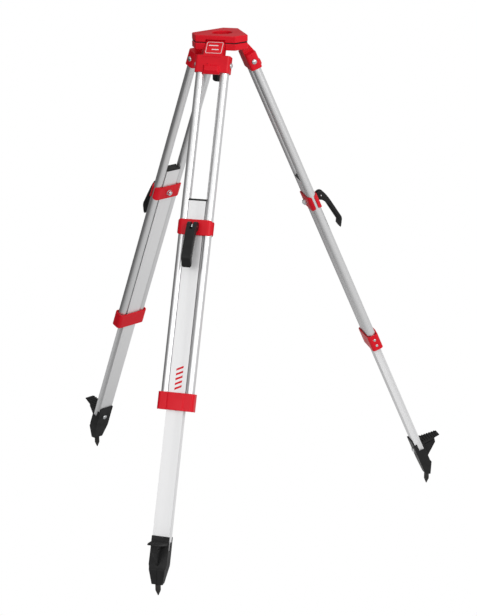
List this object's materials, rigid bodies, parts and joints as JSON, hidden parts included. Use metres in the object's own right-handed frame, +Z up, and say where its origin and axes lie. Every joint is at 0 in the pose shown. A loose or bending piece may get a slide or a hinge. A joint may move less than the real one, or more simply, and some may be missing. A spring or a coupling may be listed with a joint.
{
  "type": "levelling tripod",
  "caption": "Levelling tripod: flat triangular head with a hanging centring screw and telescopic double-tube legs with cam levers, pedal feet and steel spikes.",
  "frame": {"origin": "on the floor, under the middle of the footprint's box, with the three spike tips at Z = 0", "axes": "+Z up through the head; -Y towards the front leg; +X towards the right leg's side"},
  "size_m": [1.0472, 0.907, 1.2813],
  "materials": {
    "red_castings": "semi-gloss",
    "silver_aluminium": "satin",
    "plated_steel": "satin",
    "dark_steel": "satin",
    "black_plastic": "matte"
  },
  "bodies": {
    "head": {"head_top": "red_castings", "head_gasket": "black_plastic", "head_base": "red_castings", "arm_pivot": "plated_steel", "front_hinge_pin": "plated_steel", "right_hinge_pin": "plated_steel", "left_hinge_pin": "plated_steel"},
    "swing_arm": {"swing_arm": "plated_steel"},
    "washer": {"centring_washer": "plated_steel"},
    "screw": {"centring_stud": "plated_steel", "centring_knob": "black_plastic"},
    "front_upper_leg": {"front_leg_cap": "red_castings", "front_tube_a": "silver_aluminium", "front_tube_b": "silver_aluminium", "front_cap_bolt": "plated_steel", "front_collar": "red_castings"},
    "front_lower_leg": {"front_inner_leg": "silver_aluminium", "front_end_cap": "black_plastic", "front_clamp_front": "red_castings", "front_clamp_rear": "red_castings", "front_clamp_bolt": "plated_steel", "front_clamp_nut": "plated_steel", "front_foot": "black_plastic", "front_foot_bolt": "plated_steel", "front_spike": "dark_steel"},
    "front_clamp_lever": {"front_lever": "black_plastic", "front_lever_pin": "plated_steel"},
    "right_upper_leg": {"right_leg_cap": "red_castings", "right_tube_a": "silver_aluminium", "right_tube_b": "silver_aluminium", "right_cap_bolt": "plated_steel", "right_collar": "red_castings"},
    "right_lower_leg": {"right_inner_leg": "silver_aluminium", "right_end_cap": "black_plastic", "right_clamp_front": "red_castings", "right_clamp_rear": "red_castings", "right_clamp_bolt": "plated_steel", "right_clamp_nut": "plated_steel", "right_foot": "black_plastic", "right_foot_bolt": "plated_steel", "right_spike": "dark_steel"},
    "right_clamp_lever": {"right_lever": "black_plastic", "right_lever_pin": "plated_steel"},
    "left_upper_leg": {"left_leg_cap": "red_castings", "left_tube_a": "silver_aluminium", "left_tube_b": "silver_aluminium", "left_cap_bolt": "plated_steel", "left_collar": "red_castings"},
    "left_lower_leg": {"left_inner_leg": "silver_aluminium", "left_end_cap": "black_plastic", "left_clamp_front": "red_castings", "left_clamp_rear": "red_castings", "left_clamp_bolt": "plated_steel", "left_clamp_nut": "plated_steel", "left_foot": "black_plastic", "left_foot_bolt": "plated_steel", "left_spike": "dark_steel"},
    "left_clamp_lever": {"left_lever": "black_plastic", "left_lever_pin": "plated_steel"}
  },
  "joints": [
    {"name": "arm_swing", "type": "hinge", "parent": "head", "child": "swing_arm", "pos_m": [0, 0.2022, 1.24275], "axis": [0, 0, 1], "range_deg": [-2.5, 13.5]},
    {"name": "washer_slide", "type": "slide", "parent": "swing_arm", "child": "washer", "axis": [0.0958, 0.9954, 0], "range_m": [-0.008, 0.008]},
    {"name": "screw_turn", "type": "hinge", "parent": "washer", "child": "screw", "pos_m": [-0.00575, 0.14248, 1.24275], "axis": [0, 0, 1], "continuous": true},
    {"name": "front_leg_fold", "type": "hinge", "parent": "head", "child": "front_upper_leg", "pos_m": [0, 0.0987, 1.26325], "axis": [1, 0, 0], "range_deg": [0, 23]},
    {"name": "front_leg_slide", "type": "slide", "parent": "front_upper_leg", "child": "front_lower_leg", "axis": [0, -0.3907, -0.9205], "range_m": [-0.3, 0.36]},
    {"name": "front_clamp_lever_turn", "type": "hinge", "parent": "front_lower_leg", "child": "front_clamp_lever", "pos_m": [0, -0.11332, 0.84668], "axis": [-1, 0, 0], "range_deg": [0, 100]},
    {"name": "right_leg_fold", "type": "hinge", "parent": "head", "child": "right_upper_leg", "pos_m": [0.03767, 0.16395, 1.26325], "axis": [-0.5, 0.866, 0], "range_deg": [0, 23]},
    {"name": "right_leg_slide", "type": "slide", "parent": "right_upper_leg", "child": "right_lower_leg", "axis": [0.3384, 0.1954, -0.9205], "range_m": [-0.3, 0.36]},
    {"name": "right_clamp_lever_turn", "type": "hinge", "parent": "right_lower_leg", "child": "right_clamp_lever", "pos_m": [0.22129, 0.26996, 0.84668], "axis": [0.5, -0.866, 0], "range_deg": [0, 100]},
    {"name": "left_leg_fold", "type": "hinge", "parent": "head", "child": "left_upper_leg", "pos_m": [-0.03767, 0.16395, 1.26325], "axis": [-0.5, -0.866, 0], "range_deg": [0, 23]},
    {"name": "left_leg_slide", "type": "slide", "parent": "left_upper_leg", "child": "left_lower_leg", "axis": [-0.3384, 0.1954, -0.9205], "range_m": [-0.3, 0.36]},
    {"name": "left_clamp_lever_turn", "type": "hinge", "parent": "left_lower_leg", "child": "left_clamp_lever", "pos_m": [-0.22129, 0.26996, 0.84668], "axis": [0.5, 0.866, 0], "range_deg": [0, 100]}
  ]
}
